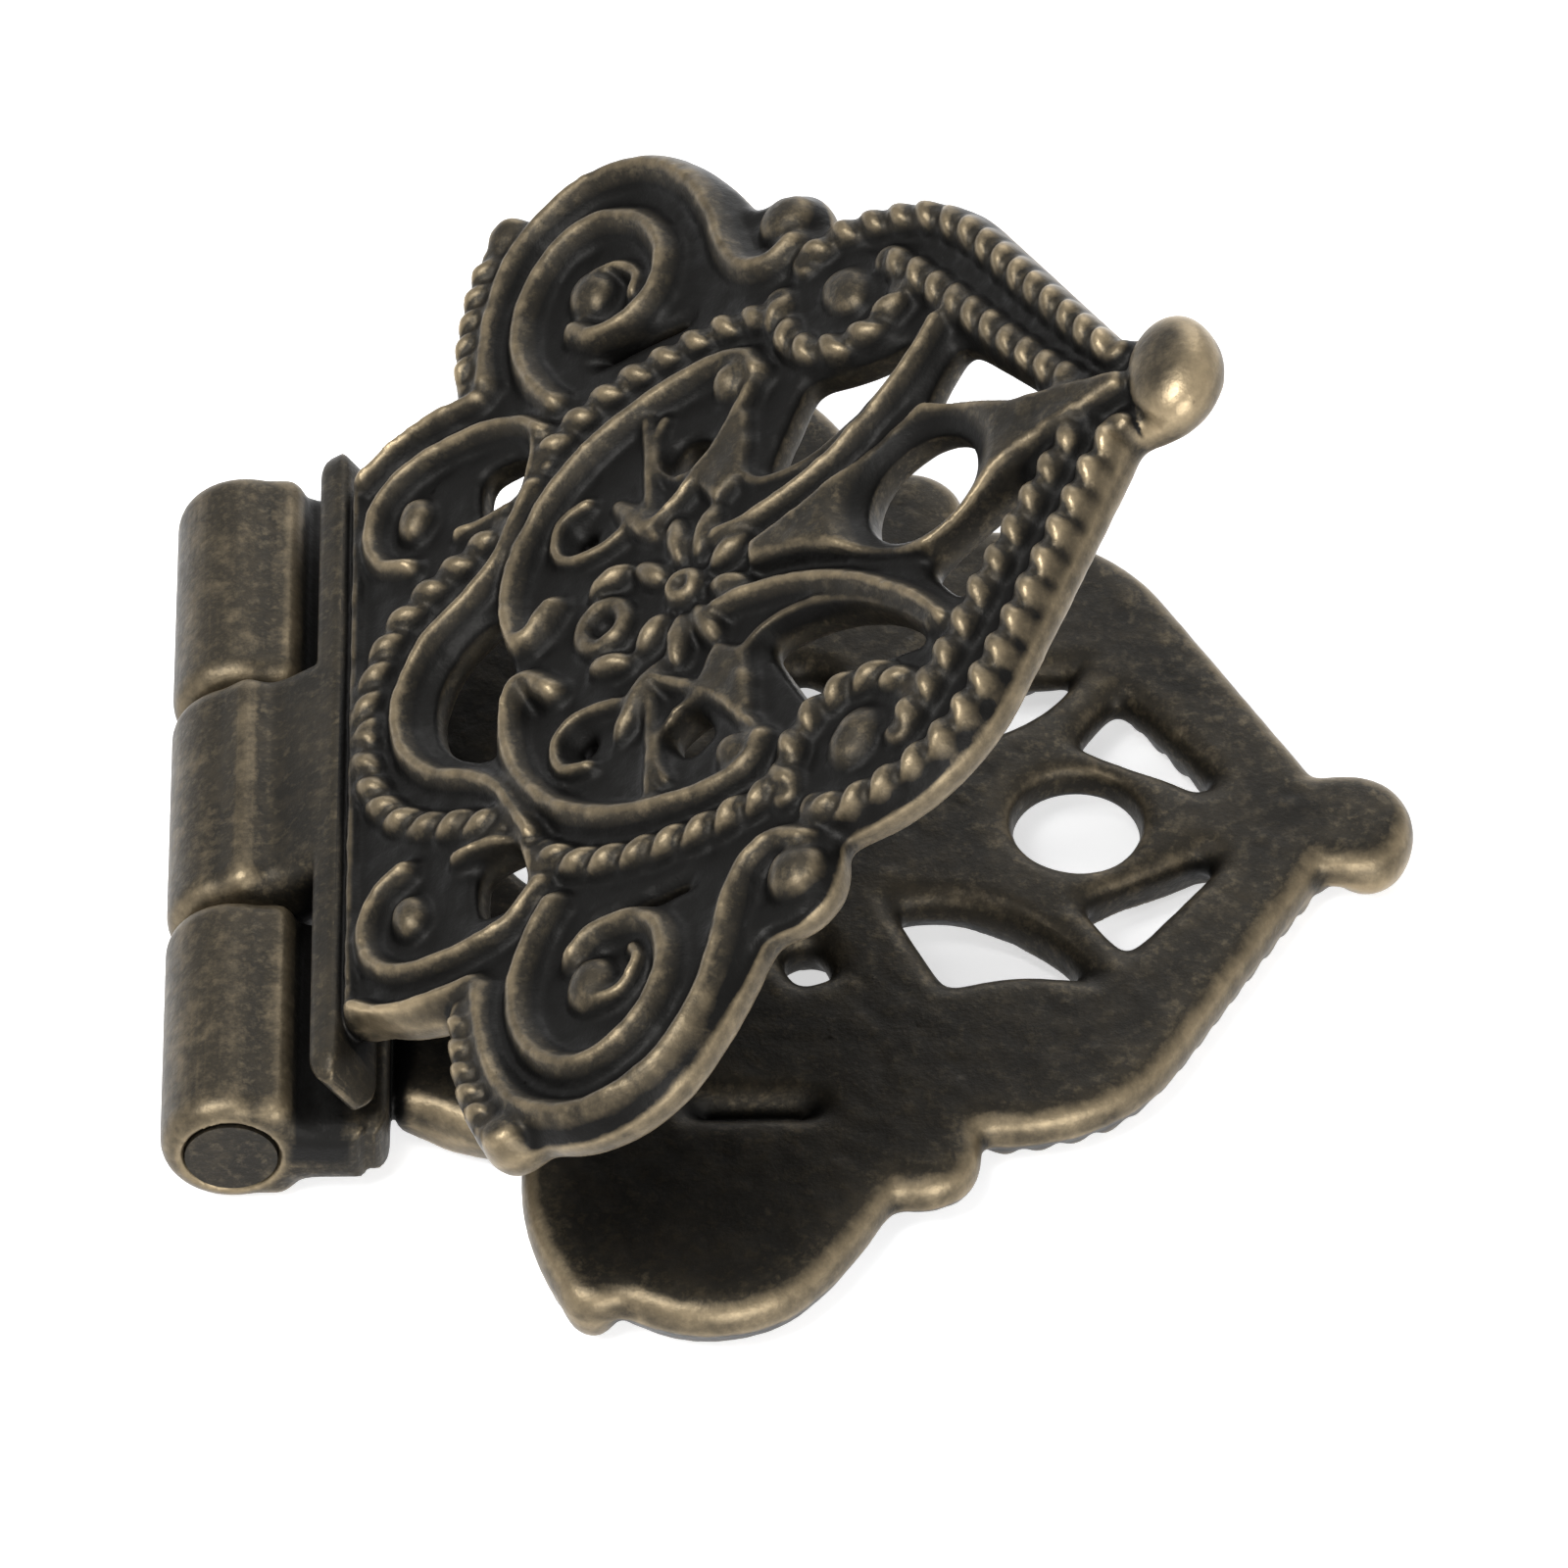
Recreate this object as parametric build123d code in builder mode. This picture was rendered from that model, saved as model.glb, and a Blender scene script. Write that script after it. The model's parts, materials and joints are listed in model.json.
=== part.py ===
"""Ornate antique-bronze box hinge: two openwork scroll leaves on one pin.

Each leaf is drawn in its own frame: the pin along Y over the origin, X from the pin to the tip,
the plain back on Z = 0 and the ornament towards +Z. Sizes in millimetres.
"""
import os
from math import asin, atan2, ceil, cos, degrees, hypot, radians, sin, tan

from build123d import *

# Pin and knuckles
PIN_R = 1.3
RUN_FIT = 0.05
BARREL_R = 2.0
BARREL_L = 24.6
KNUCKLE_GAP = 0.16
KNUCKLE_L = (BARREL_L - 2 * KNUCKLE_GAP) / 3
SHOULDER_X = 1.7
SHOULDER_Z = 1.9

# Leaf: a plate with its relief, as thick together as the barrel's radius. Its back lies past the pin's axis.
PLATE = 1.15
LEAF_T = BARREL_R
RELIEF = LEAF_T - PLATE
SINK = 0.15
BACK = 0.35

# Rail along the hinge edge with a thin bar beside it. The rails stand out at the back and meet when the
# leaves are folded, and that holds the leaves at their rest angle.
REST = 34.0
STOP_PLAY = 0.06
RAIL_X = 3.4
RAIL_W = 1.0
RAIL_L = 24.4
RAIL_T = 1.6
LIP = RAIL_X * tan(radians(REST / 2)) - BACK - STOP_PLAY
BAR_X = 4.55
BAR_W = 0.25
BAR_L = 21.2
BAR_H = 0.5

# Edge of one half of a leaf. A step of two points is an arc through the first of them.
EDGE_START = (RAIL_X, 0)
EDGE = [
    [(RAIL_X, 10.6)],
    [(5.3, 10.6)],
    [(6.7, 11.35), (8.2, 11.7)],
    [(8.2, 14.4), (9.1, 17.0)],
    [(9.85, 17.9), (10.9, 17.6)],
    [(13.7, 18.4), (16.3, 17.1)],
    [(17.53, 15.51), (18.5, 13.75)],
    [(20.4, 13.5), (20.8, 11.5)],
    [(24.2, 11.0), (26.6, 8.8)],
    [(30.65, 2.0)],
    [(30.65, 0)],
]

# Openings through one half of a leaf: where each starts, then its steps
OPENINGS = {
    "hinge lobe": ((7.35, 0), [[(10.1, 0)], [(9.7, 2.7)], [(8.1, 1.9), (7.35, 0)]]),
    "arm": ((18.6, 3.1), [[(21.5, 3.45), (24.2, 6.0)], [(22.0, 5.75), (20.1, 6.2)]]),
    "tip": ((23.9, 3.05), [[(25.2, 4.95)], [(27.9, 1.65)], [(27.6, 1.25), (27.0, 1.5)]]),
    "flower": ((15.3, 4.9), [[(16.4, 4.4)], [(17.0, 5.7)], [(15.9, 6.1)]]),
    "small scroll": ((8.9, 6.55), [[(10.6, 6.55)], [(10.6, 8.55)], [(8.9, 8.55)]]),
    "side lobe": ((12.2, 3.5), [[(13.0, 3.5)], [(13.0, 4.3)], [(12.2, 4.3)]]),
    "great scroll": ((12.8, 10.5), [[(16.4, 10.5)], [(16.4, 11.0)], [(12.8, 11.0)]]),
}

# Screw eye, and the kite-shaped rim round it from the middle of one side
EYE_X = 23.9
EYE_R = 1.75
SINK_R = 2.15
KITE = [(21.7, 1.2), (24.3, 2.35), (28.8, 0), (24.3, -2.35), (19.0, 0), (21.7, 1.2)]

# Domed knob at the tip: radius and height of each level of the dome
KNOB_X = 31.6
KNOB_R = 1.9
DOME = [(KNOB_R, 0), (KNOB_R, 0.9), (1.5, 1.55), (0.7, LEAF_T)]

# Scroll ridges of one half of a leaf: first heading, then the points that their arcs pass through.
# The arcs turn in short flats.
FLAT_TURN = radians(20)
VINE_W = 1.15
VINES = {
    "hinge lobe": [(0, 1), (6.45, -0.2), (7.6, 2.7), (9.5, 3.8)],
    "side lobe": [(-1, 1.6), (10.6, 1.0), (10.3, 3.6), (13.4, 7.1), (18.2, 7.2)],
    "arm": [(1, 0.15), (17.5, 1.4), (21.4, 2.55), (24.5, 5.6)],
    "lobe border": [(0, 1), (9.35, 12.0), (10.6, 16.0), (13.6, 17.45), (16.7, 15.3), (17.5, 12.9),
                    (19.2, 11.5)],
    "great scroll": [(-0.5, 1), (11.2, 10.6), (10.5, 13.4), (13.3, 15.95), (15.6, 13.7), (14.0, 11.6),
                     (12.4, 12.4)],
    "scroll edge": [(1, 0.6), (5.3, 10.3), (8.9, 11.15)],
    "small scroll": [(-1, 0.5), (6.7, 6.2), (5.6, 7.9), (7.4, 9.7), (11.0, 8.9)],
}
# Beads at the eyes of the scrolls: centre and radius
EYES = [(13.2, 13.8, 1.0), (7.1, 7.8, 0.8), (19.75, 12.6, 0.9), (21.85, 8.45, 0.95), (9.95, 17.1, 0.75)]

# Rope borders of one half: first heading, then the points that their arcs pass through
ROPE_W = 1.0
ROPE_PITCH = 1.0
ROPE_H = 0.7
ROPE_SLANT = 20.0
STRAND_FILL = 0.84
ROPES = {
    "hinge lobe": [(0, 1), (5.4, 0.2), (6.9, 4.2), (9.5, 5.5)],
    "side lobe": [(0.7, 1), (10.9, 6.9), (14.4, 9.2), (19.2, 9.1)],
    "loop": [(0.3, -1), (20.0, 8.3), (21.6, 6.55), (23.0, 7.0)],
    "inner arch": [(0.6, -0.8), (23.4, 8.7), (29.0, 1.2)],
    "outer arch": [(1, 0.2), (20.9, 10.4), (25.4, 9.2), (29.6, 2.9)],
    "tail": [(0, 1), (8.75, 12.4), (9.6, 16.4)],
}

# Flower and the blades round it: headings of the petals, their inner and outer radius, half width and height
FLOWER_X = 16.2
BOSS_R = 0.75
CURL_X = 13.0
CURL_R = 0.65
PETALS = [0, 45, 90, 135, 180]
PETAL_IN = 0.6
PETAL_OUT = 1.9
PETAL_W = 0.5
PETAL_H = 0.45
BLADES = [
    [(13.6, 3.3), (15.1, 4.3), (14.7, 6.6)],
    [(17.3, 2.6), (18.2, 3.6), (19.6, 5.6), (17.6, 6.4)],
    [(12.0, 0.9), (14.2, 0.9), (13.4, 2.6)],
]
BLADE_TAPER = 20.0
BEAD_SIDES = 10

# The folded hinge lies on its barrel and on the knob of the lower leaf, which leans down to the tip.
# The part's origin is under the middle of it.
FOOT_X = KNOB_X + DOME[-1][0]
FOOT_Z = LEAF_T - BACK
LEAN = degrees(asin(BARREL_R / hypot(FOOT_X, FOOT_Z)) - atan2(FOOT_Z, FOOT_X))
REACH = (KNOB_X + KNOB_R) * cos(radians(LEAN)) + BACK * sin(radians(LEAN))
MIDDLE_X = (REACH - BARREL_R) / 2


def trace(start, steps):
    """Lines and arcs from point to point, back to the start."""
    at = start
    for *through, end in steps + [[start]]:
        if through:
            ThreePointArc(at, *through, end)
        elif end != at:
            Line(at, end)
        at = end


def run_of(curve):
    """Tangent arcs through the listed points."""
    heading = curve[0]
    arcs = []
    for start, end in zip(curve[1:], curve[2:]):
        arc = TangentArc(start, end, tangent=heading)
        ahead = arc % 1
        heading = (ahead.X, ahead.Y)
        arcs.append(arc)
    return arcs


def corners(curve):
    """Points along a run of arcs, one for each short flat."""
    points = [curve[1]]
    for arc in run_of(curve):
        flats = ceil(radians((arc % 0).get_angle(arc % 1)) / FLAT_TURN)
        points += [arc @ ((i + 1) / flats) for i in range(flats)]
    return [(x, y) for x, y, *_ in points]


def ridge(points):
    """A ridge of roof-shaped section on the face of the plate."""
    with BuildPart() as rib:
        with BuildLine(Plane.XY.offset(PLATE)):
            run = Polyline(*points)
        ahead = run % 0
        with BuildSketch(Plane(run @ 0, x_dir=(-ahead.Y, ahead.X, 0), z_dir=ahead)):
            Polygon((-VINE_W / 2, -SINK), (VINE_W / 2, -SINK), (0, RELIEF), align=None)
        sweep(transition=Transition.RIGHT)
    return rib.part


def strand(pitch):
    """One strand of a rope border: a small roof laid across the rope."""
    half = pitch * STRAND_FILL / 2
    low = PLATE - SINK
    with BuildPart() as lump:
        with BuildSketch(Plane.XZ):
            Polygon((-half, low), (half, low), (half, PLATE), (0, PLATE + ROPE_H), (-half, PLATE), align=None)
        extrude(amount=ROPE_W / 2, both=True)
    return lump.part


def rope(curve):
    """Rope strands set along a run of arcs."""
    with BuildLine() as path:
        run_of(curve)
    run = path.wire()
    count = round(run.length / ROPE_PITCH)
    lump = strand(run.length / count)
    row = []
    for i in range(count):
        at = run @ ((i + 0.5) / count)
        way = run % ((i + 0.5) / count)
        row.append(Pos(at.X, at.Y) * Rot(0, 0, degrees(atan2(way.Y, way.X)) + ROPE_SLANT) * lump)
    return row


def beads_and_flower():
    """The beads at the scroll eyes, and the flower with its boss and blades."""
    with BuildPart() as lumps:
        for x, y, r in EYES + [(FLOWER_X, 0, BOSS_R), (CURL_X, 0, CURL_R)]:
            with BuildSketch(Plane.XY.offset(PLATE - SINK)):
                with Locations((x, y)):
                    RegularPolygon(r, BEAD_SIDES)
            extrude(amount=RELIEF + SINK, taper=degrees(atan2(r / 2, RELIEF + SINK)))
        middle = (PETAL_IN + PETAL_OUT) / 2
        with BuildSketch(Plane.XY.offset(PLATE - SINK)):
            with Locations(*[Location((FLOWER_X, 0), turn) for turn in PETALS]):
                Polygon((PETAL_IN, 0), (middle, -PETAL_W), (PETAL_OUT, 0), (middle, PETAL_W), align=None)
        extrude(amount=SINK + PETAL_H)
        with BuildSketch(Plane.XY.offset(PLATE - SINK)):
            for blade in BLADES:
                Polygon(*blade, align=None)
        extrude(amount=SINK + PETAL_H, taper=BLADE_TAPER)
    return lumps.part


def knob():
    """The domed knob at the tip, turned about its own middle."""
    with BuildPart() as dome:
        with BuildSketch(Plane.XZ):
            with BuildLine():
                Polyline((0, 0), *DOME, (0, LEAF_T), close=True)
            make_face()
        revolve(axis=Axis.Z)
    return Pos(KNOB_X, 0) * dome.part


def leaf(spans, bore_r):
    """A leaf with knuckles over the given stretches of the pin."""
    relief = [ridge(corners(curve)) for curve in VINES.values()] + [ridge(KITE)]
    relief += [lump for curve in ROPES.values() for lump in rope(curve)]
    relief += [beads_and_flower(), knob()]
    base = (Align.CENTER, Align.CENTER, Align.MIN)
    with BuildPart() as body:
        with BuildSketch():
            with BuildLine():
                trace(EDGE_START, EDGE)
            make_face()
            for start, steps in OPENINGS.values():
                with BuildLine():
                    trace(start, steps)
                make_face(mode=Mode.SUBTRACT)
        extrude(amount=PLATE)
        add(relief)
        with Locations((EYE_X, 0)):
            Cylinder(EYE_R, LEAF_T, align=base, mode=Mode.SUBTRACT)
        with Locations((EYE_X, 0, PLATE)):
            Cone(EYE_R, SINK_R, RELIEF, align=base, mode=Mode.SUBTRACT)
        split(bisect_by=Plane.XZ, keep=Keep.BOTTOM)
        mirror(about=Plane.XZ)
        with Locations((RAIL_X + RAIL_W / 2, 0, -LIP)):
            Box(RAIL_W, RAIL_L, LIP + RAIL_T, align=base)
        with Locations((BAR_X + BAR_W / 2, 0, PLATE - SINK)):
            Box(BAR_W, BAR_L, SINK + BAR_H, align=base)
        for low, high in spans:
            with BuildSketch(Plane.XZ.offset(-high)):
                with Locations((0, BACK)):
                    Circle(BARREL_R)
                with Locations((0, BACK - SHOULDER_Z)):
                    Rectangle(SHOULDER_X, 2 * SHOULDER_Z, align=Align.MIN)
                with Locations((0, -LIP)):
                    Rectangle(RAIL_X, LIP + RAIL_T, align=Align.MIN)
            extrude(amount=high - low)
        with BuildSketch(Plane.XZ.offset(-BARREL_L / 2)):
            with Locations((0, BACK)):
                Circle(bore_r)
        extrude(amount=BARREL_L, mode=Mode.SUBTRACT)
    return body.part


inner = KNUCKLE_L / 2
outer = inner + KNUCKLE_GAP
place = Pos(-MIDDLE_X, 0, BARREL_R) * Rot(0, LEAN, 0)
to_pin = Pos(0, 0, -BACK)

lower = leaf([(outer, BARREL_L / 2), (-BARREL_L / 2, -outer)], PIN_R)
with BuildPart() as lower_leaf:
    add(place * Rot(180, 0, 0) * to_pin * lower)
lower_leaf.part.label = "lower_leaf"

upper = leaf([(-inner, inner)], PIN_R + RUN_FIT)
with BuildPart() as upper_leaf:
    add(place * Rot(0, -REST, 0) * to_pin * upper)
upper_leaf.part.label = "upper_leaf"

with BuildPart() as hinge_pin:
    with Locations((-MIDDLE_X, 0, BARREL_R)):
        Cylinder(PIN_R, BARREL_L, rotation=(90, 0, 0))
hinge_pin.part.label = "hinge_pin"

os.makedirs("parts", exist_ok=True)
export_step(lower_leaf.part, "parts/lower_leaf.step")
export_step(upper_leaf.part, "parts/upper_leaf.step")
export_step(hinge_pin.part, "parts/hinge_pin.step")
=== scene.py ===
"""Ornate box hinge as photographed: cast scroll relief on both leaves, antique bronze, white studio.

Each leaf is modelled as a volume in its own frame, in millimetres: the pin along Y over the origin,
X from the pin to the tip, the plain back on Z = 0 and the ornament towards +Z. Its outline and openings
are taken from the CAD leaf, and the relief is drawn over them as ridges, ropes and beads.
"""
import json
from math import cos, pi, radians, sin

import bpy
import numpy as np
import openvdb
from mathutils import Matrix, Vector


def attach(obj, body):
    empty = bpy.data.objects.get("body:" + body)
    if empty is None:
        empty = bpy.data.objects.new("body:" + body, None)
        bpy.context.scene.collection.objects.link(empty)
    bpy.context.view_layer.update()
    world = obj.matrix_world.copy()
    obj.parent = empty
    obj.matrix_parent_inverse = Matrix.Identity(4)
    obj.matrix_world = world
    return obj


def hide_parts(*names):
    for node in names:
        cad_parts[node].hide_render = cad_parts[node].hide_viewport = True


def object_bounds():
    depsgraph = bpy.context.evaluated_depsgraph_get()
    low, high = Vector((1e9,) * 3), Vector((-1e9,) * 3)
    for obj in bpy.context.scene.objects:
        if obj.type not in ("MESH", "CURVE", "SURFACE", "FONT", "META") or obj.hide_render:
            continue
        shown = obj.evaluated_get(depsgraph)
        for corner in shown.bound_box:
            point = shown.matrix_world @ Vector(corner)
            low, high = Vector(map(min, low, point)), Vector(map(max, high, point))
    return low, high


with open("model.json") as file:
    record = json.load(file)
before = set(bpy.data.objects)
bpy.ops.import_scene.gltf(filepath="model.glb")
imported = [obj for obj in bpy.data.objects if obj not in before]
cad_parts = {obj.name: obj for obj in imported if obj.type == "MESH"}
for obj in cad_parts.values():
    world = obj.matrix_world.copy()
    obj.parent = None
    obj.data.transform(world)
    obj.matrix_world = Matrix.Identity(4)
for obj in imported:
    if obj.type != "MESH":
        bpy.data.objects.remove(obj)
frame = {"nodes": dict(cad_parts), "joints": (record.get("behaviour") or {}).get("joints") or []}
cad_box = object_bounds()

# Grid of the volumes: cell, room round the leaf, half the leaf's width, and what counts as far away
MM = 0.001
STEP = 0.105
MARGIN = 0.5
LEAF_HALF = 18.9
FAR = 9.0
MOST_TRIANGLES = 190000

# Barrel: its knuckles, the shoulder that squares them towards the leaf, the web to the rail, and the bore
BARREL_R = 2.0
BARREL_L = 24.6
KNUCKLE_GAP = 0.16
KNUCKLE_L = (BARREL_L - 2 * KNUCKLE_GAP) / 3
KNUCKLE_EDGE = 0.75
SHOULDER_X = (-0.3, 1.7)
SHOULDER_Z = 1.9
SHOULDER_TURN = 0.5
SHOULDER_BLEND = 0.05
WEB_INTO_RAIL = 0.4
WEB_TURN = 0.25
WEB_BLEND = 0.9
PIN_R = 1.3
BORE_PLAY = 0.05
BORE_CHAMFER = 0.14
BORE_CHAMFER_L = 0.2

# Plate: height of the pin's axis over the back, of the relief's floor and crests, and of the knob
BACK = 0.35
FLOOR = 1.1
CREST = 1.78
LEAF_T = 2.0
FRONT_EDGE = 0.45
BACK_EDGE = 0.85
SEAM = 0.01
OUTLINE_SOFT = 0.3
OUTLINE_REACH = 2.0
FLAT_WITHIN = 0.005
DIGITS = 3

# Rail along the hinge side of the plate
RAIL_X = (3.4, 4.4)
RAIL_Z = (-0.63, 1.6)
RAIL_L = 24.4
RAIL_TURN = 0.3
RAIL_END = 1.2
RAIL_BLEND = 0.2

# Screw eye, flaring towards the ornament
EYE_X = 23.9
EYE_R = 1.75
EYE_FLARE = 1.1
EYE_FLARE_FROM = 1.05
EYE_FLARE_H = 1.2
EYE_EDGE = 0.3

# Knob at the tip: where it ends and starts, its half width and half length, and how square its dome is
KNOB_TIP = 33.5
KNOB_R = 1.9
KNOB_X_R = 1.35
KNOB_START = KNOB_TIP - 2 * KNOB_X_R
KNOB_POWER = 2.3
KNOB_BLEND = 0.15

# Unevenness of the cast faces: seed, cells across the leaf and height
FRONT_GRAIN = [(7, 60, 0.018), (11, 130, 0.012)]
BACK_GRAIN = (5, 90, 0.010)

# How the folded hinge lies: angle between the leaves, and how far the lower one leans down to its tip
REST = 34.0
LEAN = 0.621

# Crested ridges of one half of a leaf: half width, height over the floor, then the points they run through
CREST_POWER = 1.2
RIDGES = {
    "rail bar": (0.3, 0.6, [(4.7, -0.5), (4.7, 10.4)]),
    "hinge lobe": (0.62, 0.88, [(6.42, -0.5), (6.45, 0.6), (6.85, 1.7), (7.7, 2.75), (9.0, 3.55), (9.9, 4.4),
                               (10.4, 5.4), (11.0, 6.7)]),
    "side lobe": (0.7, 0.9, [(11.7, 1.6), (11.0, 0.85), (10.4, 0.95), (10.15, 2.2), (10.55, 4.1), (11.7, 5.9),
                             (13.3, 7.1), (15.2, 7.8), (17.0, 8.05), (18.3, 7.75), (18.7, 7.0)]),
    "arm": (0.6, 0.85, [(17.3, 1.35), (18.2, 1.35), (19.5, 1.6), (21.0, 2.2), (22.5, 3.2), (23.8, 4.4),
                        (24.8, 5.7)]),
    "arm edge": (0.4, 0.6, [(18.3, 4.6), (18.15, 3.5), (18.7, 2.85), (20.0, 2.65), (21.4, 3.1), (22.8, 4.15),
                            (24.3, 5.7)]),
    "lobe border": (0.78, 0.9, [(9.3, 11.6), (9.4, 13.0), (9.75, 14.7), (10.55, 16.3), (11.95, 17.35),
                                (13.55, 17.65), (15.25, 17.1), (16.6, 15.6), (17.3, 13.85), (17.7, 12.35),
                                (18.3, 11.35), (19.2, 11.0), (20.0, 11.4)]),
    "great scroll": (0.74, 0.9, [(11.7, 9.6), (11.0, 10.7), (10.55, 12.1), (10.65, 13.6), (11.25, 14.9),
                                 (12.3, 15.8), (13.5, 15.9), (14.8, 15.1), (15.5, 13.6), (15.25, 12.2),
                                 (14.3, 11.45), (13.2, 11.4), (12.45, 12.0)]),
    "scroll tail": (0.45, 0.75, [(13.2, 13.9), (14.0, 13.8), (14.6, 13.1), (14.4, 12.5)]),
    "small scroll": (0.6, 0.85, [(6.7, 5.8), (5.8, 6.3), (5.35, 7.3), (5.5, 8.5), (6.3, 9.4), (7.6, 9.8),
                                 (9.2, 9.8), (10.5, 9.4), (11.4, 8.6)]),
    "strand": (0.45, 0.75, [(8.4, 6.2), (9.4, 6.2), (10.4, 6.6), (11.0, 7.6), (11.1, 8.6)]),
    "scroll edge": (0.6, 0.85, [(5.0, 10.1), (5.9, 10.75), (7.3, 11.1), (9.1, 11.2)]),
    "pocket": (0.42, 0.68, [(14.4, 3.4), (13.5, 3.05), (12.4, 3.05), (11.75, 3.7), (12.0, 4.7), (12.9, 5.0)]),
    "bar": (0.48, 0.62, [(14.95, 3.3), (15.0, 5.4), (14.9, 7.4)]),
    "stem": (0.45, 0.75, [(15.1, 2.9), (16.2, 3.7), (17.3, 4.75), (18.2, 6.0), (18.7, 7.0)]),
    "flower ring": (0.38, 0.62, [(15.5, 6.9), (15.2, 6.1), (15.3, 5.1), (16.0, 4.4), (16.9, 4.4)]),
}
# Beads: centre, half length, half width, heading in degrees and height over the floor
BEADS = [
    (13.0, 13.2, 1.05, 0.9, 100, 0.85),
    (6.85, 7.6, 0.9, 0.7, 80, 0.8),
    (19.75, 12.45, 1.05, 1.0, 0, 0.9),
    (21.75, 8.5, 1.2, 0.9, 120, 0.8),
    (10.05, 17.2, 0.85, 0.85, 0, 0.85),
    (17.9, 7.1, 0.85, 0.75, 40, 0.9),
    (11.4, 1.3, 0.8, 0.5, 50, 0.85),
    (13.65, 1.6, 0.95, 0.45, 15, 0.8),
    (14.6, 3.4, 1.7, 0.5, 126, 0.75),
]
# Curl beside the flower: centre, radius, half width and height of a ring
CURL = (13.4, 0.0, 0.72, 0.42, 0.65)
# Flower: its boss with a dimple, then the heading, reach and half width of each petal
FLOWER_X = 16.2
BOSS_R = 0.78
BOSS_H = 0.9
DIMPLE_R = 0.3
DIMPLE_DEPTH = 0.35
PETALS = [(24, 2.5, 0.5), (68, 3.0, 0.46), (97, 3.0, 0.46), (135, 2.4, 0.5)]
PETAL_H = 0.75
PETAL_OVERLAP = 0.1
PETAL_BLEND = 0.25

# Ropes: the points they run through, with the same section for all
ROPE_W = 0.6
ROPE_H = 0.86
ROPE_PITCH = 1.0
ROPE_SLANT = 0.5
STRAND_SHARE = 0.6
STRAND_POWER = 0.6
ROPES = {
    "hinge lobe": [(5.28, -0.5), (5.3, 1.1), (5.65, 2.5), (6.35, 3.65), (7.45, 4.5), (8.8, 5.1), (9.8, 5.6)],
    "side lobe": [(11.4, 7.5), (12.4, 8.35), (13.9, 8.95), (15.7, 9.25), (17.5, 9.3), (19.2, 9.0)],
    "loop": [(19.45, 9.4), (19.5, 8.4), (20.05, 7.3), (20.85, 6.7), (21.8, 6.5), (22.8, 6.75), (23.5, 7.5)],
    "inner arch": [(23.2, 9.0), (24.5, 7.4), (26.2, 4.95), (27.9, 2.5), (29.3, 0.75)],
    "outer arch": [(20.4, 10.35), (21.4, 10.8), (23.2, 10.55), (24.9, 9.7), (26.3, 8.0), (27.9, 5.4),
                   (29.6, 2.75), (30.5, 1.5)],
    "tail": [(8.6, 12.1), (8.7, 13.5), (8.95, 15.0), (9.45, 16.5)],
}
# Raised fields: level over the floor and corners
FIELD_SLOPE = 0.35
FIELD_REACH = 0.5
FIELDS = {
    "flat leaf": (0.62, [(17.2, 2.5), (18.3, 3.3), (18.5, 5.6), (18.0, 6.4), (17.2, 4.9), (16.5, 3.8)]),
    "kite panel": (0.85, [(18.2, -1.0), (18.4, 0.4), (20.2, 0.9), (22.3, 1.9), (24.3, 2.85), (25.8, 2.05),
                          (27.4, 1.15), (31.0, 0.35), (31.0, -1.0)]),
    "loop floor": (0.25, [(19.8, 10.0), (20.4, 7.2), (23.4, 6.6), (24.5, 7.6), (22.2, 10.4)]),
}
RELIEF_BLEND = 0.12
RELIEF_SOFT = 0.1

# Wear with painted highlight, and patina with painted shade: how wide, how much and where; HOLLOW, FACES_UP
# and KNOB_TOP are a start and a length to build up over
CREST_WIDTH = 0.5
HOLLOW_WIDTH = 1.9
HOLLOW = (0.44, 0.22)
FACES_UP = (0.1, 0.4)
PROBE = 0.7
RAIL_FADE = 0.2
JOINT_FADE = 0.3
RIM_RUB_AND_HIGHLIGHT = 0.15
RIM_WIDTH = 0.6
RIM_REACH = 1.0
RIM_FROM_X = 4.9
WALL_Z = (0.25, 1.0)
WALL_FADE = 0.2
WALL_SHADE_SHARE = 0.55
KNOB_RUB_AND_HIGHLIGHT = 0.055
KNOB_FADE = 0.3
KNOB_TOP = (0.5, 0.4)
BARREL_RUB_AND_HIGHLIGHT = 0.03
BARREL_TO_X = 1.8
RAIL_KEEPS = 0.09
RAIL_KEEPS_X = (3.1, 4.55)

# Bronze: its first brown, then layers, each with the scale, detail and roughness of a noise, ramp and colour
BROWN = (0.014, 0.0123, 0.0094)
LAYERS = {
    "patches": ((260.0, 4.0, 0.6), [(0.35, 0.0), (0.65, 1.0)], (0.024, 0.0206, 0.0154)),
    "mottle": ((1100.0, 5.0, 0.7), [(0.46, 0.0), (0.68, 0.75)], (0.042, 0.034, 0.0225)),
    "speckle": ((2600.0, 3.0, 0.7), [(0.52, 0.0), (0.75, 0.7)], (0.085, 0.068, 0.0425)),
}
PORES = (7000.0, 2.0, 0.6)
PORE_SHARE = 0.6
UNEVEN = 0.24
GRIT = 0.12
# Brass for rubbed wear and for painted highlight on the crests, the rim, the knob and the barrel
RUBBED_AND_LIT_RAMP = [(0.24, 1.0), (0.46, 0.0)]
BRASS_WEAR_AND_HIGHLIGHT = (0.28, 0.2185, 0.1335)
BRASS_ROUGH = (0.34, 0.34, 0.34)
# Near-black for patina in the hollows and on the relief's floor, and for painted shade on the flanks and in
# the corner beside the barrel
PATINA_AND_SHADE_RAMP = [(0.05, 0.0), (0.5, 1.0)]
PATINA_AND_SHADE_BLACK = (0.0045, 0.0042, 0.0037)
METALLIC = 0.75
SPECULAR = 0.3
ROUGH_RAMP = [(0.3, 0.56), (0.7, 0.42)]
BUMP = 0.3
BUMP_DEPTH = 0.00005

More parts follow.
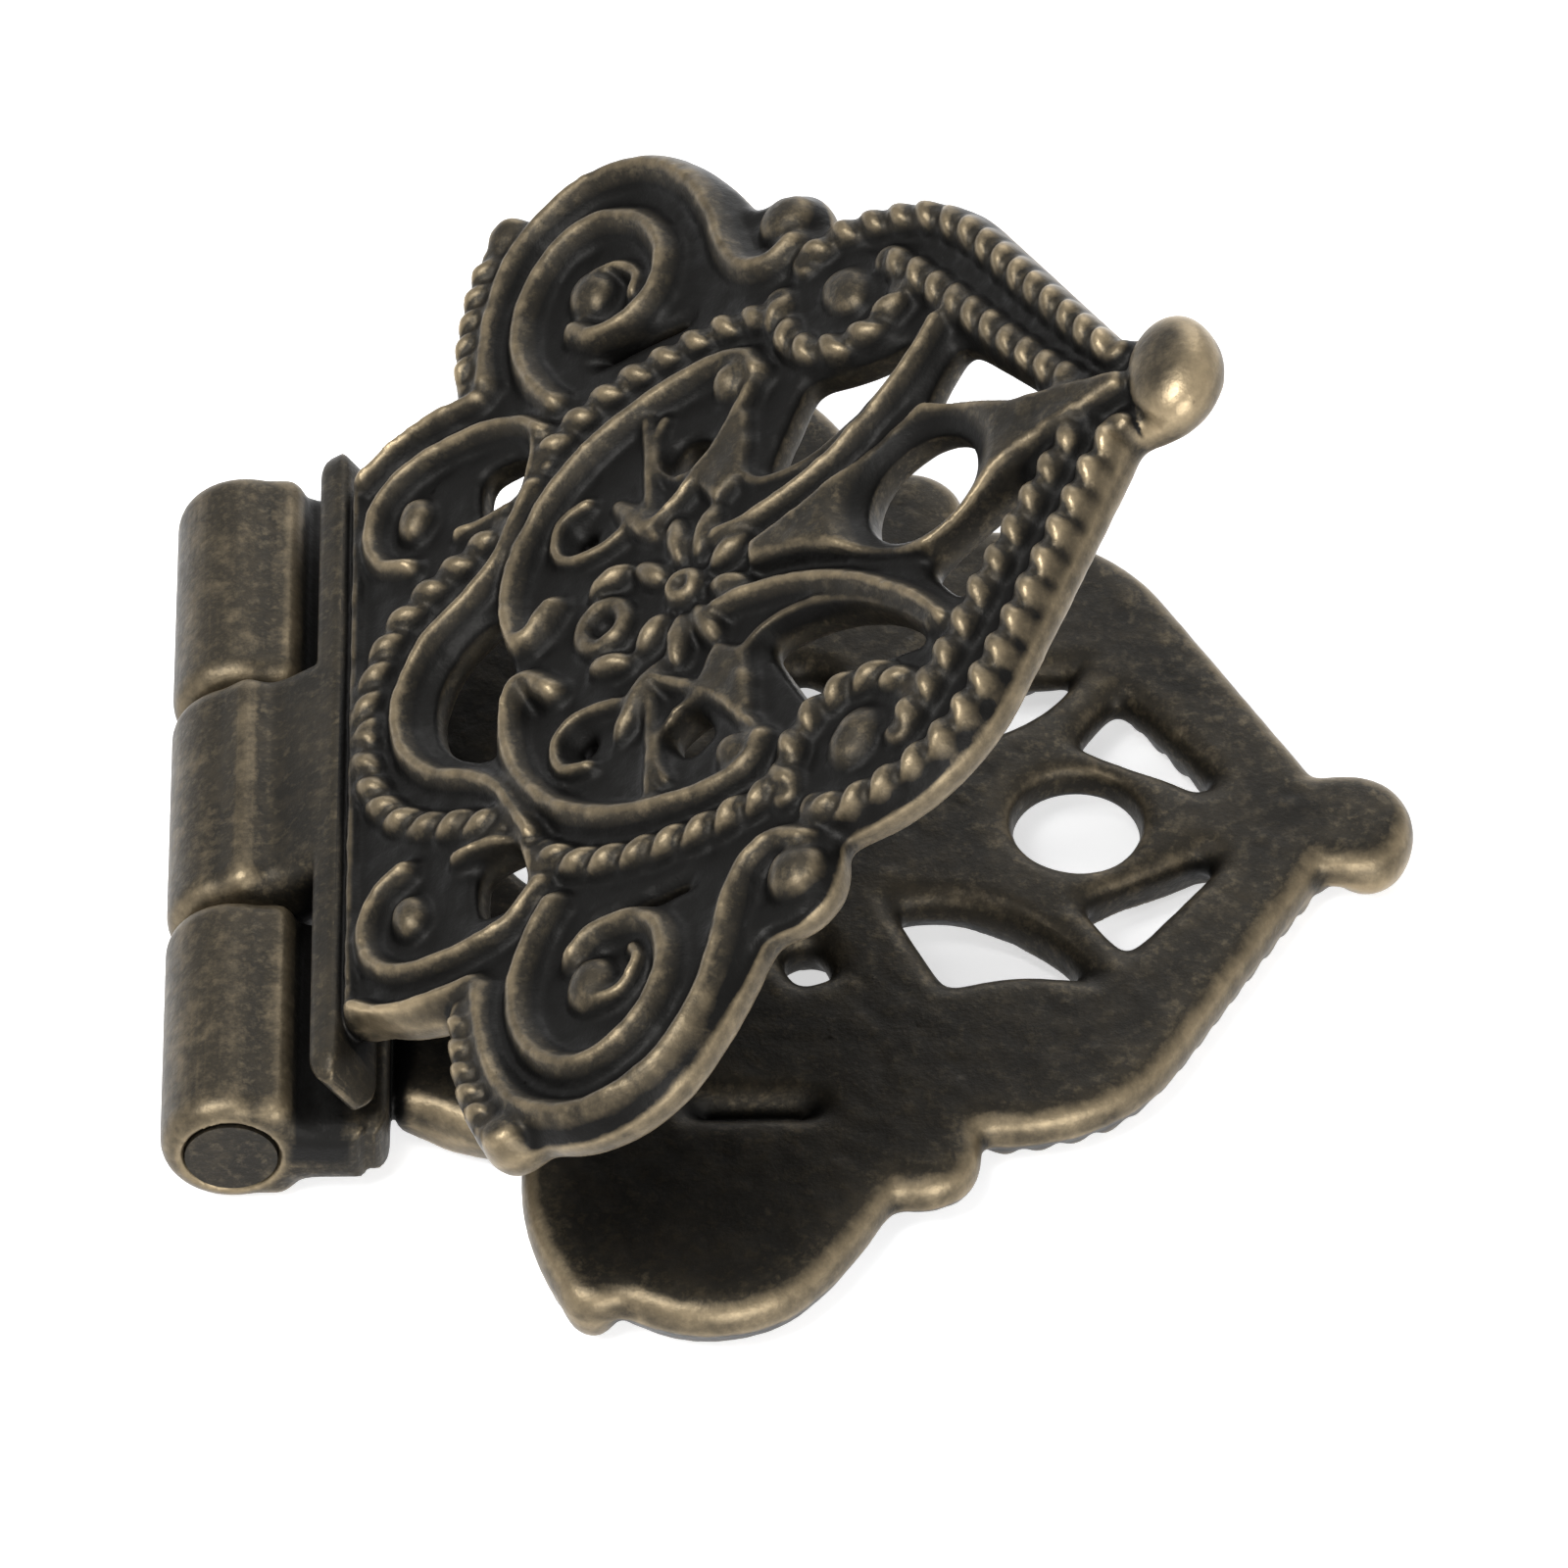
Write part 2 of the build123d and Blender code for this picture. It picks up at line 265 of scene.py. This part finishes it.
# Studio, in metres and watts: paper floor, even sky, and soft square lights with their place, width and power
WHITE = (1.0, 1.0, 1.0)
FLOOR_SIZE = 4.0
PAPER = (0.86, 0.86, 0.86)
PAPER_SHADE = 0.985
PAPER_GRAIN = (30.0, 4.0, 0.6)
PAPER_ROUGH = 0.9
PAPER_GLOW = 0.6
SKY = (0.34, 0.34, 0.35)
LIGHTS_AIM = (0, 0, 0.005)
LIGHTS = {
    "key": ((-0.16, -0.10, 0.34), 0.22, 1.95),
    "fill": ((0.14, -0.36, 0.12), 0.25, 1.3),
    "rim": ((0.05, 0.32, 0.20), 0.25, 0.5),
}

# Camera of the photograph, in millimetres and degrees, with the clipping in metres
CAMERA_AT = (0.73, -252.14, 282.19)
CAMERA_AIM = (-0.184, -1.225, 5.0)
CAMERA_ROLL = -0.96
CAMERA_LENS = 303.22
CAMERA_SENSOR = 36.0
CAMERA_CLIP = (0.01, 10.0)

AXIS = Vector(frame["joints"][0]["pos_m"])
TO_PIN = Matrix.Scale(MM, 4) @ Matrix.Translation((0, 0, -BACK))
LYING = Matrix.Translation(AXIS) @ Matrix.Rotation(radians(LEAN), 4, "Y")
LOWER_PLACE = LYING @ Matrix.Rotation(pi, 4, "X") @ TO_PIN
UPPER_PLACE = LYING @ Matrix.Rotation(-radians(REST), 4, "Y") @ TO_PIN


def grid_axis(low, high):
    """Places of the grid's cells along one axis."""
    return np.arange(low, high + STEP, STEP, dtype=np.float32)


XS = grid_axis(-BARREL_R - MARGIN, KNOB_TIP + MARGIN)
HALF = grid_axis(0.0, LEAF_HALF)
YS = np.concatenate([-HALF[:0:-1], HALF])
ZS = grid_axis(BACK - BARREL_R - MARGIN, BACK + BARREL_R + MARGIN)
# Places over one half of the leaf as maps, and over the whole volume
GX, GY = np.meshgrid(XS, HALF, indexing="ij")
X, Y, Z = XS[:, None, None], YS[None, :, None], ZS[None, None, :]


def smooth_line(points, steps=14):
    """Points close together on the smooth curve through the given ones."""
    p = np.array([points[0], *points, points[-1]], float)
    p[0] = 2 * p[1] - p[2]
    p[-1] = 2 * p[-2] - p[-3]
    t = np.linspace(0, 1, steps, endpoint=False)[:, None]
    out = []
    for a, b, c, d in zip(p, p[1:], p[2:], p[3:]):
        out.append(0.5 * (2 * b + (c - a) * t + (2 * a - 5 * b + 4 * c - d) * t ** 2
                          + (3 * b - a - 3 * c + d) * t ** 3))
    return np.vstack(out + [p[-2:-1]])


def near(line, reach):
    """Distance, length run and side of a line's nearest point over the half leaf, and the line's length.

    Past the reach, the distance is just far away.
    """
    away = np.full(GX.shape, FAR, np.float32)
    run = np.zeros(GX.shape, np.float32)
    side = np.zeros(GX.shape, np.float32)
    length = 0.0
    for a, b in zip(line, line[1:]):
        low = np.minimum(a, b) - reach
        high = np.maximum(a, b) + reach
        i = slice(*np.searchsorted(XS, (low[0], high[0])))
        j = slice(*np.searchsorted(HALF, (low[1], high[1])))
        way = b - a
        span = np.hypot(*way)
        dx, dy = GX[i, j] - a[0], GY[i, j] - a[1]
        t = np.clip((dx * way[0] + dy * way[1]) / span ** 2, 0, 1)
        d = np.hypot(dx - t * way[0], dy - t * way[1])
        nearer = d < away[i, j]
        away[i, j] = np.where(nearer, d, away[i, j])
        run[i, j] = np.where(nearer, length + t * span, run[i, j])
        side[i, j] = np.where(nearer, np.sign(dy * way[0] - dx * way[1]) * d, side[i, j])
        length += span
    return away, run, side, length


def inside(edges):
    """Even-odd test of the half leaf against edges, each a pair of points."""
    odd = np.zeros(GX.shape, bool)
    for (ax, ay), (bx, by) in edges:
        if ax != bx:
            crosses = (GX >= min(ax, bx)) & (GX < max(ax, bx))
            odd ^= crosses & (GY < ay + (GX - ax) / (bx - ax) * (by - ay))
    return odd


def mirrored(half):
    """The whole leaf's map from one half."""
    return np.concatenate([half[:, :0:-1], half], 1)


def smooth_max(a, b, k):
    """The greater of two values, blended where they differ by less than k."""
    e = np.clip(k - np.abs(a - b), 0, None) / k
    return np.maximum(a, b) + e * e * k * 0.25


def smooth_min(a, b, k):
    """The lesser of two values, blended where they differ by less than k."""
    return -smooth_max(-a, -b, k)


def fade(value, start, length):
    """0 up to the start, rising to 1 over a length."""
    return np.clip((value - start) / length, 0, 1)


def back_edges():
    """Edges of the flat back of the CAD leaf in the leaf's frame: its outline and its openings."""
    mesh = frame["nodes"]["lower_leaf"].data
    to_leaf = LOWER_PLACE.inverted()
    points = np.array([to_leaf @ v.co for v in mesh.vertices])
    mesh.calc_loop_triangles()
    times_used = {}
    for tri in mesh.loop_triangles:
        corners = points[list(tri.vertices)]
        if np.abs(corners[:, 2]).max() < FLAT_WITHIN:
            at = [tuple(np.round(c[:2], DIGITS)) for c in corners]
            for a, b in zip(at, at[1:] + at[:1]):
                key = (min(a, b), max(a, b))
                times_used[key] = times_used.get(key, 0) + 1
    return [key for key, count in times_used.items() if count == 1]


def outer_rim(edges):
    """Distance from the outer outline over the whole leaf, followed round from the tip."""
    ends = {}
    for a, b in edges:
        ends.setdefault(a, []).append(b)
        ends.setdefault(b, []).append(a)
    loop = [max(ends)]
    while len(loop) < 3 or loop[-1] != loop[0]:
        loop.append([p for p in ends[loop[-1]] if p not in loop[-2:-1]][0])
    return mirrored(near(np.array(loop), RIM_REACH)[0])


def softened(heights, reach):
    """Heights rounded off over a short reach, as a casting comes from its mould."""
    for _ in range(max(1, round((reach / STEP) ** 2 * 2))):
        for axis in (0, 1):
            last = heights.shape[axis] - 1
            places = np.arange(last + 1)
            ahead = heights.take(np.minimum(places + 1, last), axis)
            behind = heights.take(np.maximum(places - 1, 0), axis)
            heights = 0.5 * heights + 0.25 * (ahead + behind)
    return heights


def ridge(width, height, line):
    """A ridge over the floor with a narrow crest."""
    away = near(line, width + STEP)[0]
    return height * np.clip(1 - (away / width) ** CREST_POWER, 0, 1)


def rope(line):
    """A rope of slanting strands over the floor."""
    away, run, side, length = near(line, ROPE_W + STEP)
    turns = max(1, round(length / ROPE_PITCH))
    phase = run / length * turns + side * ROPE_SLANT / ROPE_PITCH
    strand = np.abs(np.sin(pi * phase)) ** STRAND_POWER
    body = np.sqrt(np.clip(1 - (away / ROPE_W) ** 2, 0, 1))
    return ROPE_H * body * (1 - STRAND_SHARE + STRAND_SHARE * strand)


def bead(x, y, long, wide, turn, height):
    """An oval bead over the floor."""
    c, s = cos(radians(turn)), sin(radians(turn))
    u = ((GX - x) * c + (GY - y) * s) / long
    v = ((GY - y) * c - (GX - x) * s) / wide
    return height * np.sqrt(np.clip(1 - u ** 2 - v ** 2, 0, 1))


def field(level, corners):
    """A raised field with sloping edges."""
    line = np.array(corners + corners[:1], float)
    away = near(line, FIELD_REACH)[0]
    within = inside(list(zip(line, line[1:])))
    return level * np.clip(0.5 + np.where(within, away, -away) / FIELD_SLOPE, 0, 1)


def flower():
    """The petals and the boss, as one shape."""
    shape = bead(FLOWER_X, 0, BOSS_R, BOSS_R, 0, BOSS_H)
    shape = shape - bead(FLOWER_X, 0, DIMPLE_R, DIMPLE_R, 0, DIMPLE_DEPTH)
    for turn, reach, wide in PETALS:
        middle = (BOSS_R + reach) / 2
        x, y = FLOWER_X + middle * cos(radians(turn)), middle * sin(radians(turn))
        petal = bead(x, y, (reach - BOSS_R) / 2 + PETAL_OVERLAP, wide, turn, PETAL_H)
        shape = smooth_max(shape, petal, PETAL_BLEND)
    return shape


def curl():
    """A raised ring."""
    x, y, r, wide, height = CURL
    away = np.abs(np.hypot(GX - x, GY - y) - r)
    return height * np.sqrt(np.clip(1 - (away / wide) ** 2, 0, 1))


def relief():
    """Height of the ornamented face over one half of the leaf."""
    h = np.zeros(GX.shape, np.float32)
    for level, corners in FIELDS.values():
        h = np.maximum(h, field(level, corners))
    shapes = [ridge(wide, high, smooth_line(points)) for wide, high, points in RIDGES.values()]
    shapes += [rope(smooth_line(points)) for points in ROPES.values()]
    shapes += [bead(*values) for values in BEADS]
    shapes += [flower(), curl()]
    for shape in shapes:
        h = smooth_max(h, shape, RELIEF_BLEND)
    return np.minimum(FLOOR + softened(h, RELIEF_SOFT), LEAF_T)


def grain(seed, cells):
    """Smooth seeded unevenness of a cast face over the whole leaf."""
    rng = np.random.default_rng(seed)
    coarse = rng.standard_normal((cells + 2, cells + 2)).astype(np.float32)
    u = np.linspace(0, cells, len(XS))
    v = np.linspace(0, cells, len(YS))
    i, j = u.astype(int), v.astype(int)
    fu, fv = (u - i)[:, None], (v - j)[None, :]
    fu, fv = fu * fu * (3 - 2 * fu), fv * fv * (3 - 2 * fv)
    c00, c10 = coarse[np.ix_(i, j)], coarse[np.ix_(i + 1, j)]
    c01, c11 = coarse[np.ix_(i, j + 1)], coarse[np.ix_(i + 1, j + 1)]
    return (c00 * (1 - fu) + c10 * fu) * (1 - fv) + (c01 * (1 - fu) + c11 * fu) * fv


def box(a, b, low, high, turn):
    """Distance from a box with rounded corners in the plane of two axes."""
    qa = np.abs(a - (low[0] + high[0]) / 2) - (high[0] - low[0]) / 2 + turn
    qb = np.abs(b - (low[1] + high[1]) / 2) - (high[1] - low[1]) / 2 + turn
    return np.hypot(np.maximum(qa, 0), np.maximum(qb, 0)) + np.minimum(np.maximum(qa, qb), 0) - turn


def outline(edges):
    """Distance from the outline and the openings over the whole leaf, below zero in the metal."""
    away = np.full(GX.shape, FAR, np.float32)
    for a, b in edges:
        away = np.minimum(away, near(np.array([a, b]), OUTLINE_REACH)[0])
    return softened(mirrored(np.where(inside(edges), -away, away)), OUTLINE_SOFT)


def plate(edges):
    """The plate with its relief, rounded along the outline and the openings."""
    edge = outline(edges)[:, :, None]
    top = mirrored(relief())
    for seed, cells, height in FRONT_GRAIN:
        top = top + height * grain(seed, cells)
    slope = np.sqrt(1 + sum(g * g for g in np.gradient(top, STEP)))
    front = (Z - top[:, :, None]) / slope[:, :, None]
    seed, cells, height = BACK_GRAIN
    back = -Z + height * grain(seed, cells)[:, :, None]
    return smooth_max(smooth_max(front, edge, FRONT_EDGE), smooth_max(back, edge, BACK_EDGE), SEAM)


def eye():
    """The open space of the screw eye."""
    mouth = EYE_R + EYE_FLARE * np.clip(Z - EYE_FLARE_FROM, 0, EYE_FLARE_H)
    return mouth - np.hypot(X - EYE_X, Y)


def knob():
    """The domed knob at the tip."""
    across = np.hypot((X - KNOB_TIP + KNOB_X_R) / KNOB_X_R, Y / KNOB_R)
    upward = np.abs(Z - LEAF_T / 2) / (LEAF_T / 2)
    return ((across ** KNOB_POWER + upward ** KNOB_POWER) ** (1 / KNOB_POWER) - 1) * LEAF_T / 2


def rail():
    """The rail, with its ends rounded."""
    bar = box(X, Z, (RAIL_X[0], RAIL_Z[0]), (RAIL_X[1], RAIL_Z[1]), RAIL_TURN)
    return smooth_max(bar, np.abs(Y) - RAIL_L / 2, RAIL_END)


def leaf_volume(edges):
    """Signed distance of a leaf without its knuckles, as a volume."""
    body = smooth_max(plate(edges), eye(), EYE_EDGE)
    body = smooth_min(body, knob(), KNOB_BLEND)
    return smooth_min(body, rail(), RAIL_BLEND)


def add_knuckles(body, spans, bore):
    """Knuckles over the given stretches of the pin, bored through."""
    from_pin = np.hypot(X, Z - BACK)
    low, high = SHOULDER_X
    shoulder = box(X, Z, (low, BACK - SHOULDER_Z), (high, BACK + SHOULDER_Z), SHOULDER_TURN)
    web = box(X, Z, (0, RAIL_Z[0]), (RAIL_X[0] + WEB_INTO_RAIL, RAIL_Z[1]), WEB_TURN)
    section = smooth_min(smooth_min(from_pin - BARREL_R, shoulder, SHOULDER_BLEND), web, WEB_BLEND)
    for low, high in spans:
        ends = np.maximum(low - Y, Y - high)
        body = np.minimum(body, smooth_max(section, ends, KNUCKLE_EDGE))
    from_end = BARREL_L / 2 - np.abs(Y)
    mouth = bore + BORE_CHAMFER * np.clip(1 - from_end / BORE_CHAMFER_L, 0, 1)
    return np.maximum(body, mouth - from_pin)


def surface(name, volume):
    """The surface of a volume as a thinned piece, still in cells of the grid."""
    band = 3 * STEP
    level = openvdb.FloatGrid()
    level.copyFromArray(np.clip(volume, -band, band).astype(np.float32))
    cells, quads = level.convertToQuads(0.0)
    full = bpy.data.meshes.new(name + "_full")
    full.from_pydata(cells.tolist(), [], quads.tolist())
    piece = bpy.data.objects.new(name, full)
    bpy.context.scene.collection.objects.link(piece)
    thin = piece.modifiers.new("thin", "DECIMATE")
    thin.ratio = min(1.0, MOST_TRIANGLES / (2 * len(quads)))
    thin.use_collapse_triangulate = True
    mesh = bpy.data.meshes.new_from_object(piece.evaluated_get(bpy.context.evaluated_depsgraph_get()))
    piece.modifiers.clear()
    piece.data = mesh
    mesh.name = name
    bpy.data.meshes.remove(full)
    return piece


def blurred(volume, size):
    """Mean of the volume over a box of that many cells a side."""
    half = size // 2
    for axis in range(3):
        wide = [(0, 0)] * 3
        wide[axis] = (half + 1, half)
        sums = np.cumsum(np.pad(volume, wide, mode="edge"), axis, dtype=np.float64)
        low = np.arange(volume.shape[axis])
        volume = ((sums.take(low + size, axis) - sums.take(low, axis)) / size).astype(np.float32)
    return volume


def sampled(volume, cells):
    """Values of a volume at points given in cells, by linear interpolation."""
    just_inside = 1.001
    cells = np.clip(cells, 0, np.array(volume.shape) - just_inside)
    i = cells.astype(int)
    f = cells - i
    out = 0
    for corner in np.ndindex(2, 2, 2):
        weight = np.prod(np.where(corner, f, 1 - f), 1)
        out = out + weight * volume[tuple((i + corner).T)]
    return out


def share_of_metal(volume, width, cells):
    """How much of a box of that width round each point is metal."""
    solid = np.clip(0.5 - volume / STEP, 0, 1).astype(np.float32)
    size = 2 * int(width / STEP / 2 + 0.5) + 1
    return sampled(blurred(solid, size), cells)


def facing_up(volume, cells):
    """How far the surface at each point faces the ornament's side."""
    up = np.array([0, 0, PROBE], np.float32)
    return (sampled(volume, cells + up) - sampled(volume, cells - up)) / (2 * PROBE * STEP)


def rubbing_and_highlight(x, z, rim):
    """How much handling has rubbed each point, with painted highlight on top: more on the rim, the knob and
    the barrel, less on the rail, and less on the rim's walls as painted shade.
    """
    # The rim's walls keep less brass and stay darker, as painted shade
    shaded_wall = fade(z, WALL_Z[0], WALL_FADE) * fade(WALL_Z[1] - z, 0, WALL_FADE)
    # Brass on the rim, the knob's top and the barrel: wear, with painted highlight
    rubbed_and_lit = RIM_RUB_AND_HIGHLIGHT * (1 - WALL_SHADE_SHARE * shaded_wall) * fade(RIM_WIDTH - rim, 0, RIM_WIDTH) * (x > RIM_FROM_X)
    rubbed_and_lit += KNOB_RUB_AND_HIGHLIGHT * fade(x, KNOB_START, KNOB_FADE) * fade(z, *KNOB_TOP)
    rubbed_and_lit += BARREL_RUB_AND_HIGHLIGHT * (x < BARREL_TO_X)
    rubbed_and_lit -= RAIL_KEEPS * ((x > RAIL_KEEPS_X[0]) & (x < RAIL_KEEPS_X[1]))
    return rubbed_and_lit


def painted_shade_and_patina(x, z, facing, share):
    """How deep each point lies and how dark it is painted: patina in a hollow and on the relief's floor,
    painted shade on the flanks below the crests and in the corner beside the barrel.
    """
    # Patina on the relief's floor, with painted shade on the flanks below the crests
    sunk_or_shaded = fade(CREST - z, 0, CREST - FLOOR) * fade(facing, *FACES_UP) * fade(x, RAIL_X[1], RAIL_FADE)
    # Painted shade in the corner between the knuckle's shoulder and the rail, on the back
    shaded_joint = fade(x, SHOULDER_X[1], JOINT_FADE) * fade(RAIL_X[0] - x, 0, JOINT_FADE) * (z < BACK)
    deep_or_shaded = np.maximum(np.maximum(fade(share, *HOLLOW), sunk_or_shaded), shaded_joint)
    return deep_or_shaded * (x < KNOB_START + KNOB_FADE)


def casting(node_name, volume, rim, place, body):
    """The piece that shows a leaf, with how much it stands out or lies deep kept for its finish: brass for
    wear and painted highlight, near-black for patina and painted shade.
    """
    piece = surface(node_name + "_casting", volume)
    mesh = piece.data
    cells = np.empty(len(mesh.vertices) * 3, np.float32)
    mesh.vertices.foreach_get("co", cells)
    cells = cells.reshape(-1, 3)
    points = cells * STEP + np.array([XS[0], YS[0], ZS[0]], np.float32)
    x, z = points[:, 0], points[:, 2]
    rim_there = sampled(np.repeat(rim[:, :, None], 2, 2), cells * np.array([1, 1, 0], np.float32))
    finish_and_light_values = {
        # Brass mask: rubbed wear and painted highlight on the crests and the rim
        "edges_worn_and_lit": share_of_metal(volume, CREST_WIDTH, cells) - rubbing_and_highlight(x, z, rim_there),
        # Near-black mask: patina in the hollows and painted shade
        "patina_and_painted_shade": painted_shade_and_patina(x, z, facing_up(volume, cells), share_of_metal(volume, HOLLOW_WIDTH, cells)),
    }
    for label, value in finish_and_light_values.items():
        mesh.attributes.new(label, "FLOAT", "POINT").data.foreach_set("value", value.astype(np.float32))
    mesh.vertices.foreach_set("co", points.ravel())
    mesh.transform(place)
    mesh.update()
    mesh.shade_smooth()
    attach(piece, body)
    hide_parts(node_name)
    return piece


def node(tree, kind, **values):
    """A shader node with its settings and constant inputs."""
    made = tree.nodes.new("ShaderNode" + kind)
    for key, value in values.items():
        if hasattr(made, key):
            setattr(made, key, value)
        else:
            made.inputs[key].default_value = value
    return made


def feed(tree, socket, value):
    """A socket linked to another one, or set to a colour or a number."""
    if isinstance(value, bpy.types.NodeSocket):
        tree.links.new(value, socket)
    elif isinstance(value, tuple):
        socket.default_value = (*value, 1)
    else:
        socket.default_value = value


def ramp(tree, source, stops):
    """A ramp of values fed by a socket, with a place and a value for each of its two stops."""
    made = node(tree, "ValToRGB")
    tree.links.new(source, made.inputs[0])
    for element, (at, value) in zip(made.color_ramp.elements, stops):
        element.position = at
        element.color = (value, value, value, 1)
    return made.outputs[0]


def mixed(tree, factor, a, b):
    """Two colours mixed by a factor; each may be a socket or a colour."""
    made = node(tree, "Mix", data_type="RGBA")
    for i, value in ((0, factor), (6, a), (7, b)):
        feed(tree, made.inputs[i], value)
    return made.outputs[2]


def noise(tree, where, scale, detail, rough):
    """Noise in the piece's own coordinates."""
    made = node(tree, "TexNoise", Scale=scale, Detail=detail, Roughness=rough)
    tree.links.new(where, made.inputs["Vector"])
    return made.outputs[0]


def calc(tree, how, a, b):
    """Two values joined by an operation, each a socket or a number."""
    made = node(tree, "Math", operation=how)
    feed(tree, made.inputs[0], a)
    feed(tree, made.inputs[1], b)
    return made.outputs[0]


def new_material(name):
    """A new material, with its shader and the piece's own coordinates."""
    material = bpy.data.materials.new(name)
    material.use_nodes = True
    tree = material.node_tree
    return material, tree.nodes["Principled BSDF"], node(tree, "TexCoord").outputs["Object"]


def wear_and_patina_with_painted_light(tree, mottle, speckle):
    """How far a casting is rubbed to brass, with painted highlight, and how far it is blackened by patina and
    painted shade, both unevenly.
    """
    out = node(tree, "Attribute", attribute_name="edges_worn_and_lit").outputs["Fac"]
    deep_or_shaded = node(tree, "Attribute", attribute_name="patina_and_painted_shade").outputs["Fac"]
    uneven = calc(tree, "MULTIPLY", calc(tree, "SUBTRACT", mottle, 0.5), UNEVEN)
    grit = calc(tree, "MULTIPLY", calc(tree, "SUBTRACT", speckle, 0.5), GRIT)
    rub_and_highlight = calc(tree, "ADD", calc(tree, "ADD", out, uneven), grit)
    return ramp(tree, rub_and_highlight, RUBBED_AND_LIT_RAMP), ramp(tree, calc(tree, "ADD", deep_or_shaded, grit), PATINA_AND_SHADE_RAMP)


def bronze(name, cast):
    """Antique bronze: mottled brown, on a casting rubbed to brass on the edges, with painted highlight, and
    black in the recesses from patina, with painted shade on the flanks and in the corner by the barrel.
    """
    material, shader, where = new_material(name)
    tree = material.node_tree
    colour = BROWN
    noises = {}
    for layer, (texture, stops, tint) in LAYERS.items():
        noises[layer] = noise(tree, where, *texture)
        colour = mixed(tree, ramp(tree, noises[layer], stops), colour, tint)
    speckle = noises["speckle"]
    rough = ramp(tree, speckle, ROUGH_RAMP)
    if cast:
        worn_and_lit, blackened_or_shaded = wear_and_patina_with_painted_light(tree, noises["mottle"], speckle)
        # Brass from rubbed wear and from painted highlight
        colour = mixed(tree, worn_and_lit, colour, BRASS_WEAR_AND_HIGHLIGHT)
        # Near-black from patina and from painted shade
        colour = mixed(tree, blackened_or_shaded, colour, PATINA_AND_SHADE_BLACK)
        rough = mixed(tree, worn_and_lit, rough, BRASS_ROUGH)
    tree.links.new(colour, shader.inputs["Base Color"])
    tree.links.new(rough, shader.inputs["Roughness"])
    shader.inputs["Metallic"].default_value = METALLIC
    shader.inputs["Specular IOR Level"].default_value = SPECULAR
    pores = calc(tree, "MULTIPLY", noise(tree, where, *PORES), PORE_SHARE)
    bump = node(tree, "Bump", Strength=BUMP, Distance=BUMP_DEPTH)
    tree.links.new(calc(tree, "ADD", speckle, pores), bump.inputs["Height"])
    tree.links.new(bump.outputs[0], shader.inputs["Normal"])
    return material


def seen_white(tree):
    """1 for the rays that find a white background: from the camera, off metal and through glass."""
    path = node(tree, "LightPath").outputs
    seen = calc(tree, "MAXIMUM", path["Is Camera Ray"], path["Is Glossy Ray"])
    return calc(tree, "MAXIMUM", seen, path["Is Transmission Ray"])


def paper():
    """Pale paper that shows as white, with the shadows on it."""
    material, shader, where = new_material("paper")
    tree = material.node_tree
    shade = tuple(PAPER_SHADE * c for c in PAPER)
    tone = mixed(tree, noise(tree, where, *PAPER_GRAIN), PAPER, shade)
    tree.links.new(tone, shader.inputs["Base Color"])
    shader.inputs["Roughness"].default_value = PAPER_ROUGH
    shader.inputs["Specular IOR Level"].default_value = 0.0
    shader.inputs["Emission Color"].default_value = (*WHITE, 1)
    glow = calc(tree, "MULTIPLY", seen_white(tree), PAPER_GLOW)
    tree.links.new(glow, shader.inputs["Emission Strength"])
    return material


def lay_floor():
    """The floor that the hinge lies on."""
    bpy.ops.mesh.primitive_plane_add(size=FLOOR_SIZE, location=(0, 0, cad_box[0].z))
    floor = bpy.context.object
    floor.name = "floor"
    floor.data.materials.append(paper())


def area_light(name, at, size, power):
    """A soft square light aimed at the hinge."""
    data = bpy.data.lights.new(name, "AREA")
    data.shape = "SQUARE"
    data.size = size
    data.energy = power
    lamp = bpy.data.objects.new(name, data)
    lamp.location = at
    lamp.rotation_euler = (Vector(LIGHTS_AIM) - Vector(at)).to_track_quat("-Z", "Y").to_euler()
    bpy.context.scene.collection.objects.link(lamp)


def even_sky():
    """A world that lights evenly and shows as white."""
    world = bpy.data.worlds.new("studio")
    bpy.context.scene.world = world
    world.use_nodes = True
    tree = world.node_tree
    sky = mixed(tree, seen_white(tree), SKY, WHITE)
    tree.links.new(sky, tree.nodes["Background"].inputs["Color"])


def place_camera():
    """The camera where the photograph was taken."""
    data = bpy.data.cameras.new("camera")
    data.sensor_width = CAMERA_SENSOR
    data.lens = CAMERA_LENS
    data.clip_start, data.clip_end = CAMERA_CLIP
    camera = bpy.data.objects.new("camera", data)
    bpy.context.scene.collection.objects.link(camera)
    at, aim = Vector(CAMERA_AT) * MM, Vector(CAMERA_AIM) * MM
    look = (aim - at).to_track_quat("-Z", "Y").to_matrix()
    turn = Matrix.Rotation(radians(CAMERA_ROLL), 3, "Z")
    camera.matrix_world = Matrix.Translation(at) @ (look @ turn).to_4x4()
    bpy.context.scene.camera = camera


# The two castings and the pin
inner = KNUCKLE_L / 2
outer = inner + KNUCKLE_GAP
edges = back_edges()
rim = outer_rim(edges)
leaf = leaf_volume(edges)
with_outer = add_knuckles(leaf, [(outer, BARREL_L / 2), (-BARREL_L / 2, -outer)], PIN_R)
with_inner = add_knuckles(leaf, [(-inner, inner)], PIN_R + BORE_PLAY)
finish = bronze("antique_bronze", True)
for piece in (casting("lower_leaf", with_outer, rim, LOWER_PLACE, "lower"),
              casting("upper_leaf", with_inner, rim, UPPER_PLACE, "upper")):
    piece.data.materials.append(finish)
pin = frame["nodes"]["hinge_pin"]
pin.data.materials.clear()
pin.data.materials.append(bronze("pin_bronze", False))

# The studio
lay_floor()
for name, values in LIGHTS.items():
    area_light(name, *values)
even_sky()
place_camera()
bpy.context.scene.view_settings.view_transform = "Standard"
